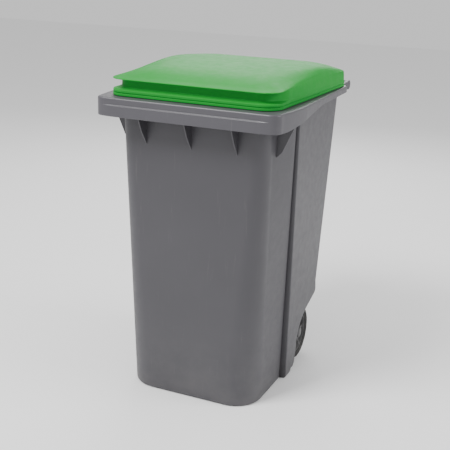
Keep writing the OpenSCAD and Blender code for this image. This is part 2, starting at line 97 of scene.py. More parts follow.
class BinSizes(bpy.types.PropertyGroup):
    """Sizes of the mouldings that the frame doesn't fix."""

    wall: size("Wall", "Thickness of the tub's wall and of the rim's skirt", 0.005)
    floor_thickness: size("Floor", "Thickness of the tub's floor", 0.007)
    front_base_width: size("Front base width", "Width of the narrow front part at the ground", 0.478)
    front_top_width: size("Front top width", "Width of the narrow front part at the rim", 0.522)
    rear_base_width: size("Rear base width", "Width of the wide rear part at the ground", 0.524)
    rear_top_width: size("Rear top width", "Width of the wide rear part at the rim", 0.602)
    setback_base: size("Base set-back", "Front wall behind the rim's face, at the ground", 0.070)
    setback_top: size("Top set-back", "Front wall behind the rim's face, at the rim", 0.064)
    corner_base: size("Base corner", "Front corner radius at the ground", 0.100)
    corner_top: size("Top corner", "Front corner radius at the rim", 0.042)
    rear_corner: size("Rear corner", "Radius of the rear corners", 0.030)
    step_base: size("Base step", "Depth of the side step at the ground", 0.020)
    step_top: size("Top step", "Depth of the side step at the rim", 0.006)
    step_back_base: size("Base step place", "Rim's front face back to the step, at the ground", 0.350)
    step_back_top: size("Top step place", "Rim's front face back to the step, at the rim", 0.237)
    groove: size("Step groove", "Depth of the groove in front of the side step", 0.007)
    arch_gap: size("Arch gap", "Room between the tyres and the tub", 0.014)
    overhang: size("Overhang", "Height of the overhang above the wheels", 0.250)
    overhang_lean: size("Rear lean", "How far the rear wall leans back from the overhang to the rim", 0.028)
    rim_front_width: size("Rim front width", "Width of the rim at its front corners", 0.620)
    rim_width: size("Rim width", "Width of the rim where it is widest", 0.664)
    rim_rear_width: size("Rim rear width", "Width of the rim at its rear corners", 0.636)
    rim_flare: size("Rim flare", "Rim's front face back to its widest place", 0.205)
    rim_corner: size("Rim corner", "Corner radius of the rim", 0.034)
    rim_edge: size("Rim edge", "Rounding of the rim's top edge", 0.006)
    skirt_rear: size("Rear skirt", "Height of the rim's skirt at the rear", 0.022)
    skirt_from: size("Skirt rise, front", "Rim's front face to where the skirt's edge starts to rise", 0.070)
    skirt_to: size("Skirt rise, rear", "Rim's front face back to where the skirt's edge is level again", 0.390)
    ledge: size("Ledge", "How far the rim reaches inwards past the tub's wall", 0.014)
    gusset_pitch: size("Gusset pitch", "Distance between the gussets under the front of the rim", 0.160)
    gusset_drop: size("Gusset drop", "How far the gussets reach below the skirt", 0.092)
    side_gusset_back: size("Side gusset place", "Front wall's face back to the side gussets", 0.074)
    gusset: size("Gusset thickness", "Thickness of the gussets under the rim", 0.004)
    lid_rise: size("Lid rise", "Height of the lid's rear edge above the rim", 0.080)
    lid_crown: size("Lid crown", "How far the lid's crown stands above a straight line, front to rear", 0.014)
    lip_height: size("Lip height", "Height of the underside of the lid's lip above the rim", 0.053)
    lid_corner: size("Lid corner", "Front corner radius of the lid", 0.062)
    lid_rear_corner: size("Lid rear corner", "Rear corner radius of the lid", 0.040)
    lid_setback: size("Lid set-back", "Lid's front edge behind the rim's face", 0.036)
    lid_side_gap: size("Lid side gap", "Lid's sides inside the rim's widest place", 0.034)
    lid_rear_gap: size("Lid rear gap", "Lid's sides inside the rim's sides at the rear", 0.005)
    lid_wall: size("Lid wall", "Thickness of the lid", 0.004)
    lip_recess: size("Lip recess", "Depth of the hand recess under the lid's lip", 0.024)
    lug_inner: size("Inner lug", "Middle of the bin to a grip's inner lug", 0.156)
    lug_outer: size("Outer lug", "Middle of the bin to a grip's outer lug", 0.286)
    lug: size("Lug thickness", "Thickness of the rear lugs", 0.010)
    knuckle: size("Knuckle width", "Width of the lid's hinge knuckles", 0.046)
    web: size("Web thickness", "Thickness of the axle webs", 0.008)
    tread_groove: size("Tread groove", "Depth of the grooves round the tyres", 0.0018)


class BinColours(bpy.types.PropertyGroup):
    """Colours of the bin's materials."""

    body: colour("Body", "Colour of the body moulding", (0.052, 0.050, 0.057))
    lid: colour("Lid", "Colour of the lid", (0.008, 0.250, 0.028))
    tyre: colour("Tyre", "Colour of the tyres", (0.012, 0.012, 0.013))
    hub: colour("Hub", "Colour of the wheel hubs", (0.035, 0.035, 0.038))
    trim: colour("Trim", "Colour of the hinge pins and the hub caps", (0.020, 0.020, 0.022))
    steel: colour("Steel", "Colour of the axle and its washers", (0.55, 0.56, 0.58))
    floor: colour("Floor", "Colour of the studio floor", (0.90, 0.90, 0.90))


# Shapes -------------------------------------------------------------------------------------------

def lerp(start, end, share):
    """Straight blend from start to end."""
    return start + (end - start) * share


def ease(share):
    """Blend from 0 to 1 with level ends: three times the square less twice the cube."""
    share = np.clip(share, 0.0, 1.0)
    return share * share * (3.0 - 2.0 * share)


def line(start, end, count, last=False):
    """Points from start to end, evenly spaced. Each is a pair of arrays with one entry per level."""
    share = np.linspace(0.0, 1.0, count, endpoint=last)
    ends = zip(np.broadcast_arrays(*start), np.broadcast_arrays(*end))
    return np.stack([lerp(a, b, share) for a, b in ends], -1)


def arc(centre, radius, first, last_angle, count):
    """Points on a circle from the first angle up to the last, in degrees."""
    angle = np.radians(np.linspace(first, last_angle, count, endpoint=False))
    x, y = np.broadcast_arrays(*centre)
    return np.stack([x + radius * np.cos(angle), y + radius * np.sin(angle)], -1)


def mirrored(half):
    """Closes an outline: the right half from front to rear, then its mirror image back to the front."""
    left = half[:, -2:0:-1].copy()
    left[..., 0] *= -1.0
    return np.concatenate([half, left], 1)


def place(outline, height):
    """Gives a plan outline its height."""
    z = np.broadcast_to(height, outline.shape[:2])
    return np.concatenate([outline, z[..., None]], -1)


def rounded(path, radius, count=5):
    """A polyline with its inner corners turned into arcs: each corner is cut back by the radius along both
    legs, and a quadratic curve joins the two cuts."""
    path = np.asarray(path, float)
    before, corner, after = path[:-2], path[1:-1], path[2:]
    leg_in, leg_out = before - corner, after - corner
    len_in = np.linalg.norm(leg_in, axis=1, keepdims=True)
    len_out = np.linalg.norm(leg_out, axis=1, keepdims=True)
    cut_in = corner + leg_in / len_in * np.minimum(radius, len_in * 0.45)
    cut_out = corner + leg_out / len_out * np.minimum(radius, len_out * 0.45)
    t = np.linspace(0.0, 1.0, count)[None, :, None]
    bend = (1 - t) ** 2 * cut_in[:, None] + 2 * t * (1 - t) * corner[:, None] + t ** 2 * cut_out[:, None]
    return np.concatenate([path[:1], bend.reshape(-1, path.shape[1]), path[-1:]])


def loft(rings, wrap=False):
    """Surface through rings of points, all of one length, each joined round and to the next. The ends close
    on a pole at the ring's middle, or the last ring joins the first when wrap is true."""
    levels, count, _ = rings.shape
    k = np.arange(levels if wrap else levels - 1)[:, None]
    j = np.arange(count)[None, :]
    here, up = k * count, (k + 1) % levels * count
    following = (j + 1) % count
    quads = np.stack([here + j, here + following, up + following, up + j], -1).reshape(-1, 4)
    points = rings.reshape(-1, 3)
    if wrap:
        return points, [quads]
    points = np.concatenate([points, rings[0].mean(0)[None], rings[-1].mean(0)[None]])
    first, last = levels * count, levels * count + 1
    top = (levels - 1) * count
    j = j[0]
    following = following[0]
    start = np.stack([np.full(count, first), following, j], -1)
    end = np.stack([top + j, top + following, np.full(count, last)], -1)
    return points, [quads, start, end]


def turned(profile, count=128):
    """Surface of revolution about the wheel axis: profile rows are (distance along X, radius), closed round."""
    profile = np.asarray(profile, float)
    angle = np.linspace(0.0, 2 * np.pi, count, endpoint=False)
    x = np.repeat(profile[:, :1], count, 1)
    y = AXLE_Y + profile[:, 1:] * np.cos(angle)
    z = AXLE_Z + profile[:, 1:] * np.sin(angle)
    return np.stack([x, y, z], -1)


def slab(outline, plane, middle, thickness):
    """Flat plate: an outline in the plane YZ or XZ, carried through its thickness about a middle place."""
    outline = np.asarray(outline, float)
    count = len(outline)
    sides = []
    for place_at in (middle - thickness / 2, middle + thickness / 2):
        fixed = np.full(count, place_at)
        if plane == "YZ":
            sides.append(np.stack([fixed, outline[:, 0], outline[:, 1]], -1))
        else:
            sides.append(np.stack([outline[:, 0], fixed, outline[:, 1]], -1))
    j = np.arange(count)
    following = (j + 1) % count
    shifted = np.roll(outline, -1, 0)
    area = np.sum(outline[:, 0] * shifted[:, 1] - shifted[:, 0] * outline[:, 1])
    forward = (area > 0) == (plane == "YZ")
    edge = np.stack([j, following, following + count, j + count], -1)
    near, far = j[None, ::-1], j[None] + count
    if not forward:
        edge, near, far = edge[:, ::-1], near[:, ::-1], far[:, ::-1]
    return np.concatenate(sides), [edge, near, far]


def tube(x0, x1, radius_in, radius_out, y, z, edge=0.001, count=64):
    """Tube along X: a closed ring-shaped profile with eased edges, carried round the axis at (y, z)."""
    profile = np.array([
        [x0, radius_in], [x1, radius_in], [x1, radius_out - edge], [x1 - edge, radius_out],
        [x0 + edge, radius_out], [x0, radius_out - edge]])
    angle = np.linspace(0.0, 2 * np.pi, count, endpoint=False)
    rings = np.stack([
        np.repeat(profile[:, :1], count, 1), y + profile[:, 1:] * np.cos(angle),
        z + profile[:, 1:] * np.sin(angle)], -1)
    return loft(rings[:, ::-1], wrap=True)


def flipped(shell):
    """The mirror image of a shell about the middle plane, with its faces still pointing outwards."""
    points, faces = shell
    return points * np.array([-1.0, 1.0, 1.0]), [face[:, ::-1] for face in faces]


def add_piece(name, shells, body, replaced, material, crease=38.0, bevel=0.0):
    """Makes one object from closed shells, gives it its finish and joins it to the frame."""
    points, widths, corners, start = [], [], [], 0
    for shell_points, shell_faces in shells:
        points.append(shell_points)
        for face in shell_faces:
            widths.append(np.full(len(face), face.shape[1]))
            corners.append(face.reshape(-1) + start)
        start += len(shell_points)
    points, widths, corners = np.concatenate(points), np.concatenate(widths), np.concatenate(corners)
    mesh = bpy.data.meshes.new(name)
    mesh.vertices.add(len(points))
    mesh.vertices.foreach_set("co", points.astype(np.float32).ravel())
    mesh.loops.add(len(corners))
    mesh.loops.foreach_set("vertex_index", corners.astype(np.int32))
    mesh.polygons.add(len(widths))
    mesh.polygons.foreach_set("loop_start", np.concatenate([[0], np.cumsum(widths)[:-1]]).astype(np.int32))
    mesh.polygons.foreach_set("loop_total", widths.astype(np.int32))
    mesh.polygons.foreach_set("use_smooth", np.ones(len(widths), bool))
    mesh.update(calc_edges=True)
    if mesh.validate():
        raise RuntimeError(f"{name}: the surface has faces that can't be used")
    mesh.set_sharp_from_angle(angle=math.radians(crease))
    mesh.materials.append(material)
    piece = bpy.data.objects.new(name, mesh)
    bpy.context.scene.collection.objects.link(piece)
    if bevel:
        modifier = piece.modifiers.new("Eased edges", "BEVEL")
        modifier.width = bevel
        modifier.segments = 2
        modifier.limit_method = "ANGLE"
        modifier.harden_normals = True
    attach(piece, body)
    if replaced:
        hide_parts(*replaced)
    return piece


# Body ---------------------------------------------------------------------------------------------

FRONT_POINTS, CORNER_POINTS, SIDE_POINTS, REAR_SIDE_POINTS = 10, 18, 18, 22
REAR_CORNER_POINTS, REAR_POINTS = 10, 12
STEP_POINTS = 12


def tub_outline(s, height, inset, back):
    """Plan outline of the tub at each height, moved inwards by inset, with its rear wall at back. Widths,
    set-backs, radii and the step's place run straight from the ground to the rim."""
    h = (height / RIM_TOP)[:, None]
    inset, back = inset[:, None], back[:, None]
    front = FRONT_Y + lerp(s.setback_base, s.setback_top, h)
    half_front = lerp(s.front_base_width, s.front_top_width, h) / 2
    half_rear = lerp(s.rear_base_width, s.rear_top_width, h) / 2
    half_step = half_rear - lerp(s.step_base, s.step_top, h)
    step_y = FRONT_Y + lerp(s.step_back_base, s.step_back_top, h)
    radius = lerp(s.corner_base, s.corner_top, h)
    rear_radius = np.minimum(s.rear_corner, 0.014 + 0.016 * ease((height - s.overhang) / 0.05))[:, None]
    groove = half_step - s.groove
    step_path = [
        (half_step, step_y - 0.016), (half_step, step_y - 0.012), (half_step - 0.002, step_y - 0.009),
        (groove + 0.001, step_y - 0.006), (groove, step_y - 0.003), (groove, step_y - 0.001),
        (groove + 0.001, step_y), (lerp(groove, half_rear, 0.5), step_y + 0.0005),
        (half_rear - 0.003, step_y + 0.001), (half_rear - 0.001, step_y + 0.002),
        (half_rear - 0.0002, step_y + 0.004), (half_rear, step_y + 0.007)]
    step = np.stack([np.concatenate(np.broadcast_arrays(x - inset, y), 1) for x, y in step_path], 1)
    half = np.concatenate([
        line((0 * h, front + inset), (half_front - radius, front + inset), FRONT_POINTS),
        arc((half_front - radius, front + radius), radius - inset, -90, 0, CORNER_POINTS),
        line((half_front - inset, front + radius), (half_step - inset, step_y - 0.020), SIDE_POINTS),
        step,
        line((half_rear - inset, step_y + 0.010), (half_rear - inset, back - rear_radius), REAR_SIDE_POINTS),
        arc((half_rear - rear_radius, back - rear_radius), rear_radius - inset, 0, 90, REAR_CORNER_POINTS),
        line((half_rear - rear_radius, back - inset), (0 * h, back - inset), REAR_POINTS, last=True)], 1)
    return mirrored(half)


def rear_profile(s):
    """Side view of the rear wall from the ground up, as (y, z): a leaning foot, an arch concentric with the
    wheels, its tangent to the overhang's rounded corner, and the wall above."""
    radius = WHEEL_R + s.arch_gap
    foot_z = np.array([0.009, 0.03, 0.055, 0.08])
    foot_y = AXLE_Y - radius - 0.020 * ((AXLE_Z - foot_z) / AXLE_Z) ** 1.2
    turn = np.radians(np.linspace(180.0, 108.0, 22))
    arch = np.stack([AXLE_Y + radius * np.cos(turn), AXLE_Z + radius * np.sin(turn)], -1)
    lip_y = WALL_REAR_Y - s.overhang_lean
    top_y = WALL_REAR_Y + s.overhang_lean * (PLATE_Z - RIM_TOP) / (RIM_TOP - s.overhang)
    upper = rounded([arch[-1], (lip_y, s.overhang), (top_y, PLATE_Z)], 0.016, 7)[1:]
    wall_z = np.linspace(upper[-2, 1], PLATE_Z, 26)[1:]
    wall = np.stack([np.interp(wall_z, upper[-2:, 1], upper[-2:, 0]), wall_z], -1)
    return np.concatenate([np.stack([foot_y, foot_z], -1), arch, upper[:-1], wall])


def inner_profile(s, profile):
    """The rear wall's inner side: each point moved in along the profile's normal by the wall's thickness."""
    run = np.gradient(profile, axis=0)
    run /= np.linalg.norm(run, axis=1, keepdims=True)
    inner = profile + s.wall * np.stack([-run[:, 1], run[:, 0]], -1)
    inner[:, 1] = np.maximum.accumulate(np.clip(inner[:, 1], s.floor_thickness, PLATE_Z))
    return inner[inner[:, 1] > s.floor_thickness + 0.001]


def tub_shell(s):
    """The tub as one closed skin: up the outside from the middle of the base, over the top edge, and down
    the inside to the middle of the floor."""
    profile = rear_profile(s)
    inner = inner_profile(s, profile)[::-1]
    base_turn = np.radians(np.linspace(-90.0, 0.0, 5))[:-1]
    base_radius = 0.009
    base_z = base_radius * (1 + np.sin(base_turn))
    base_in = base_radius * (1 - np.cos(base_turn))
    base_y = np.full(4, AXLE_Y - WHEEL_R - s.arch_gap - 0.020)
    height = np.concatenate([
        base_z, profile[:, 1], inner[:, 1], [s.floor_thickness + 0.001, s.floor_thickness]])
    inset = np.concatenate([
        base_in, np.zeros(len(profile)), np.full(len(inner), s.wall), [s.wall, s.wall + 0.002]])
    back = np.concatenate([base_y, profile[:, 0], inner[:, 0] + s.wall, np.full(2, inner[-1, 0] + s.wall)])
    rings = place(tub_outline(s, height, inset, back), height[:, None])
    shrink = np.array([0.25, 0.6, 0.9])[:, None, None]
    middle = rings[0].mean(0)
    base = middle + (rings[0] - middle) * shrink
    middle = rings[-1].mean(0)
    floor = middle + (rings[-1] - middle) * shrink[::-1]
    return loft(np.concatenate([base, rings, floor]))


def cheek_outline(s):
    """Side view of the thin skin that runs from the tub's side over part of the wheel, as (y, z)."""
    radius = WHEEL_R + s.arch_gap
    turn = np.radians(np.linspace(186.0, 112.0, 14))
    edge = np.stack([AXLE_Y + 0.014 + radius * np.cos(turn), AXLE_Z + 0.004 + radius * np.sin(turn)], -1)
    start = AXLE_Y - radius
    foot = [(start - 0.050, 0.016), (start - 0.002, 0.016), (start + 0.008, 0.030)]
    top = [(AXLE_Y + 0.020, s.overhang - 0.012), (AXLE_Y + 0.020, s.overhang + 0.010),
           (start - 0.050, s.overhang)]
    return np.concatenate([foot, edge, top])


def cheek_shell(s):
    """The wheel skin, leaning with the tub's side."""
    lean = (s.rear_top_width - s.rear_base_width) / 2 / RIM_TOP
    points, faces = slab(cheek_outline(s), "YZ", 0.0, s.wall - 0.0015)
    points[:, 0] += s.rear_base_width / 2 + lean * points[:, 2] - s.wall / 2
    return points, faces


def rim_half(s, back):
    """Half width of the rim at a distance behind its front face: a quarter sine wave out to the widest
    place, then a straight taper to the rear corners."""
    share = np.clip(back / s.rim_flare, 0.0, 1.0)
    taper = np.clip((back - s.rim_flare) / (REAR_Y - FRONT_Y - s.rim_flare), 0.0, 1.0)
    return (lerp(s.rim_front_width, s.rim_width, np.sin(np.pi / 2 * share))
            - (s.rim_width - s.rim_rear_width) * taper) / 2


def rim_outline(s, inset):
    """Plan outline of the rim, moved inwards by inset, with as many points as the tub's outline."""
    inset = np.asarray(inset, float)[:, None]
    zero = 0 * inset
    r = s.rim_corner
    start, end = r, REAR_Y - FRONT_Y - r
    half0, half1 = rim_half(s, start), rim_half(s, end)
    count = SIDE_POINTS + STEP_POINTS + REAR_SIDE_POINTS
    back = np.linspace(start, end, count, endpoint=False)[None] + zero
    side = np.stack([rim_half(s, back) - inset, FRONT_Y + back], -1)
    half = np.concatenate([
        line((zero, FRONT_Y + inset), (half0 - r + zero, FRONT_Y + inset), FRONT_POINTS),
        arc((half0 - r + zero, FRONT_Y + r + zero), r - inset, -90, 0, CORNER_POINTS),
        side,
        arc((half1 - r + zero, REAR_Y - r + zero), r - inset, 0, 90, REAR_CORNER_POINTS),
        line((half1 - r + zero, REAR_Y - inset), (zero, REAR_Y - inset), REAR_POINTS, last=True)], 1)
    return mirrored(half)


def skirt_bottom(s, y):
    """Height of the skirt's lower edge: level along the front and the flare, then rising to the rear."""
    share = np.clip((y - FRONT_Y - s.skirt_from) / (s.skirt_to - s.skirt_from), 0.0, 1.0)
    return lerp(SKIRT_FRONT_Z, RIM_TOP - s.skirt_rear, lerp(share, ease(share), 0.25))


def rim_shell(s):
    """The rim as one closed band, carried round the outline: from its inner edge across the top plate, over
    the rounded top edge, down the skirt with its proud pressing band, and back up behind the skirt."""
    plate = tub_outline(s, np.array([PLATE_Z]), np.array([s.wall + s.ledge]), np.array([WALL_REAR_Y]))
    wall_line = tub_outline(s, np.array([PLATE_Z]), np.array([0.0]), np.array([WALL_REAR_Y]))
    outer = rim_outline(s, [0.0])
    skirt = outer[0]
    low = skirt_bottom(s, skirt[:, 1])
    edge = np.radians(np.linspace(0.0, 90.0, 7))
    edge_in = s.rim_edge * (1 - np.sin(edge))
    edge_z = RIM_TOP - s.rim_edge * (1 - np.cos(edge))
    down = np.concatenate([np.linspace(0.04, 0.26, 3), np.linspace(0.29, 0.37, 7), np.linspace(0.42, 0.98, 6)])
    face = rim_outline(s, np.zeros(len(down)))
    face_z = lerp(RIM_TOP - s.rim_edge, low[None], down[:, None])
    corner_from = s.rim_front_width / 2 - 0.050
    front = (skirt[:, 1] < FRONT_Y + s.rim_corner) * (1 - ease((np.abs(skirt[:, 0]) - corner_from) / 0.028))
    face[..., 1] -= BAND_OUT * front[None] * ease((down[:, None] - 0.29) / 0.07)
    bottom_in = np.array([0.0004, 0.0016, s.wall - 0.0016, s.wall - 0.0004])
    bottom = rim_outline(s, bottom_in)
    bottom[:2, :, 1] -= BAND_OUT * front[None]
    bottom_z = low[None] + np.array([0.0012, 0.0, 0.0, 0.0012])[:, None]
    behind = rim_outline(s, np.full(4, s.wall))
    behind_z = lerp(low[None], PLATE_Z, np.array([0.1, 0.4, 0.8, 1.0])[:, None])
    rings = np.concatenate([
        place(plate, PLATE_Z), place(plate, RIM_TOP - 0.0015),
        place(lerp(plate, outer, 0.015), RIM_TOP),
        place(lerp(plate, rim_outline(s, [s.rim_edge]), 0.5), RIM_TOP),
        place(rim_outline(s, edge_in), edge_z[:, None]),
        place(face, face_z), place(bottom, bottom_z), place(behind, behind_z),
        place(lerp(behind[:1], wall_line, 0.98), PLATE_Z)])
    return loft(rings[:, :], wrap=True)


def gusset_shells(s):
    """Plates that brace the rim's skirt against the tub: three across the front and one at each side."""
    tip_z = SKIRT_FRONT_Z - s.gusset_drop
    plate_y = FRONT_Y + lerp(s.setback_base, s.setback_top, PLATE_Z / RIM_TOP) + 0.001
    tip_y = FRONT_Y + lerp(s.setback_base, s.setback_top, tip_z / RIM_TOP) + 0.001
    skirt_y = FRONT_Y + s.wall
    front = [(plate_y, PLATE_Z), (tip_y, tip_z), (tip_y - 0.004, tip_z + 0.006),
             (lerp(tip_y, skirt_y, 0.55), lerp(tip_z, SKIRT_FRONT_Z, 0.50)),
             (skirt_y, SKIRT_FRONT_Z + 0.008), (skirt_y, PLATE_Z)]
    shells = [slab(front, "YZ", x, s.gusset) for x in (-s.gusset_pitch, 0.0, s.gusset_pitch)]
    side_y = FRONT_Y + s.setback_top + s.side_gusset_back
    side_extra_drop = 0.006
    side_tip = SKIRT_FRONT_Z - s.gusset_drop - side_extra_drop
    heights = np.array([PLATE_Z, side_tip])
    outline = tub_outline(s, heights, np.zeros(2), np.full(2, WALL_REAR_Y))
    half = len(outline[0]) // 2
    at = [np.interp(side_y, row[FRONT_POINTS:half, 1], row[FRONT_POINTS:half, 0]) - 0.001 for row in outline]
    reach = float(rim_half(s, np.array(side_y - s.gusset / 2 - FRONT_Y))) - s.wall
    side = [(at[0], PLATE_Z), (at[1], side_tip), (at[1] + 0.002, side_tip), (at[1] + 0.019, side_tip + 0.016),
            (reach, SKIRT_FRONT_Z + 0.013), (reach, PLATE_Z)]
    right = slab(side, "XZ", side_y, s.gusset)
    return shells + [right, flipped(right)]


def rear_wall_y(s, z):
    """Y of the rear wall's face at a height above the overhang."""
    return lerp(WALL_REAR_Y - s.overhang_lean, WALL_REAR_Y, (z - s.overhang) / (RIM_TOP - s.overhang))


def grip_shells(s):
    """One grip: two lugs and the bar between them, with rings that give the hand a hold. The inner lug is a
    plate with a round end and a scooped lower edge down the rear wall. The outer lug carries the skirt on."""
    brace_z = RIM_TOP - s.skirt_rear - 0.090
    lug_r = GRIP_R + 0.001
    turn = np.radians(np.linspace(-100.0, 100.0, 15))
    nose = np.stack([HINGE_Y + lug_r * np.cos(turn), HINGE_Z + lug_r * np.sin(turn)], -1)
    foot = np.array([rear_wall_y(s, brace_z), brace_z])
    bend = np.array([lerp(foot[0], HINGE_Y, 0.62), lerp(brace_z, HINGE_Z, 0.40)])
    t = np.linspace(0.0, 1.0, 10)[:, None]
    scoop = (1 - t) ** 2 * foot + 2 * t * (1 - t) * bend + t ** 2 * nose[0]
    back = [(REAR_Y - 0.001, RIM_TOP - 0.001), (REAR_Y - 0.001, RIM_TOP - s.skirt_rear + 0.001),
            (rear_wall_y(s, RIM_TOP - s.skirt_rear), RIM_TOP - s.skirt_rear + 0.001)]
    outline = np.concatenate([scoop[:-1], nose, back])
    turn = np.radians(np.linspace(-90.0, 90.0, 15))
    nose = np.stack([HINGE_Y + GRIP_R * np.cos(turn), HINGE_Z + GRIP_R * np.sin(turn)], -1)
    root_depth = 0.0075
    sunk = REAR_Y - root_depth
    slender = np.concatenate([[(sunk, RIM_TOP - s.skirt_rear + 0.001)], nose, [(sunk, RIM_TOP - 0.001)]])
    lugs = [slab(outline, "YZ", s.lug_inner + s.lug / 2, s.lug),
            slab(slender, "YZ", s.lug_outer + s.lug / 2, s.lug)]
    start, end = s.lug_inner + s.lug - 0.001, s.lug_outer + 0.001
    x = np.linspace(start, end, 120)
    ribs = 0.5 - 0.5 * np.cos(2 * np.pi * (x - start) / 0.010)
    near_end = ease((x - start) / 0.012) * ease((end - x) / 0.012)
    radius = GRIP_R - 0.0015 - 0.0012 * ribs ** 3 * near_end
    angle = np.linspace(0.0, 2 * np.pi, 48, endpoint=False)
    bar = np.stack([np.repeat(x[:, None], 48, 1), HINGE_Y - radius[:, None] * np.cos(angle),
                    HINGE_Z + radius[:, None] * np.sin(angle)], -1)
    return lugs + [loft(bar)]


def housing_shells(s):
    """The axle's webs, which fill the arch behind the tub, and the tube that ties them together."""
    boss = AXLE_R + 0.008
    radius = WHEEL_R + s.arch_gap
    turn = np.radians(np.linspace(188.0, 112.0, 16))
    arch = np.stack([AXLE_Y + (radius + 0.001) * np.cos(turn), AXLE_Z + (radius + 0.001) * np.sin(turn)], -1)
    low = np.array([AXLE_Y - boss * 0.5, AXLE_Z - boss * 0.85])
    end = np.array([AXLE_Y + boss * 0.85, AXLE_Z + boss * 0.5])
    turn = np.radians(np.linspace(-120.0, 30.0, 10))
    nose = np.stack([AXLE_Y + boss * np.cos(turn), AXLE_Z + boss * np.sin(turn)], -1)
    outline = np.concatenate([arch, [lerp(arch[-1], end, 0.5) - [0.006, 0.0]], nose[::-1],
                              [lerp(arch[0], low, 0.5) + [0.0, 0.010]]])
    reach = HOUSING_HIGH[0]
    places = (-reach + s.web / 2, -0.060, 0.060, reach - s.web / 2)
    webs = [slab(outline, "YZ", x, s.web) for x in places]
    return webs + [tube(-reach, reach, AXLE_R + 0.0001, boss, AXLE_Y, AXLE_Z)]


# Lid ----------------------------------------------------------------------------------------------

def lid_half(s, y):
    """Half width of the lid's flange: inside the rim's side by a gap that narrows to the rear, and drawn in
    a little towards the front."""
    back = np.maximum(s.rim_flare, y - FRONT_Y)
    gap = lerp(s.lid_side_gap, s.lid_rear_gap, (back - s.rim_flare) / (REAR_Y - FRONT_Y - s.rim_flare))
    return rim_half(s, back) - gap - 0.006 * (1 - ease((y - FRONT_Y - s.lid_setback) / 0.300))


def lid_outline(s, side_in, front_in, wrap):
    """Plan outlines of the lid, one per level. Each is the flange's outline drawn towards its middle: by the
    front inset at the front, and by the side inset from the wrap's distance behind the front."""
    front, rear = FRONT_Y + s.lid_setback, REAR_Y - 0.008
    r, rr = s.lid_corner, s.lid_rear_corner
    y0, y1 = front + r, rear - rr
    one = np.ones((1, 1))
    back = np.linspace(y0, y1, 56, endpoint=False)[None]
    half = np.concatenate([
        line((0 * one, front * one), ((lid_half(s, y0) - r) * one, front * one), 24),
        arc(((lid_half(s, y0) - r) * one, y0 * one), r, -90, 0, 22),
        np.stack([lid_half(s, back), back], -1),
        arc(((lid_half(s, y1) - rr) * one, y1 * one), rr, 0, 90, 16),
        line(((lid_half(s, y1) - rr) * one, rear * one), (0 * one, rear * one), 16, last=True)], 1)[0]
    share = 1 - ease((half[:, 1] - front - 0.030) / wrap[:, None])
    side_in, front_in = side_in[:, None], front_in[:, None]
    inset = lerp(side_in, front_in, share)
    middle = (front + rear) / 2
    across = 1 - inset / lid_half(s, rear)
    along = 1 - np.where(half[:, 1] < middle, inset, side_in) / (rear - middle)
    half = np.stack([half[:, 0] * across, middle + (half[:, 1] - middle) * along], -1)
    return mirrored(half)


def softened(rows, rounds):
    """A section's control rows with each corner cut at a quarter and three quarters, as many rounds over as
    asked, so that the rows pull the section as a spline's points do."""
    for _ in range(rounds):
        low, high = rows[:-1], rows[1:]
        cut = np.stack([lerp(low, high, 0.25), lerp(low, high, 0.75)], 1).reshape(-1, rows.shape[1])
        rows = np.concatenate([rows[:1], cut[1:-1], rows[-1:]])
    return rows


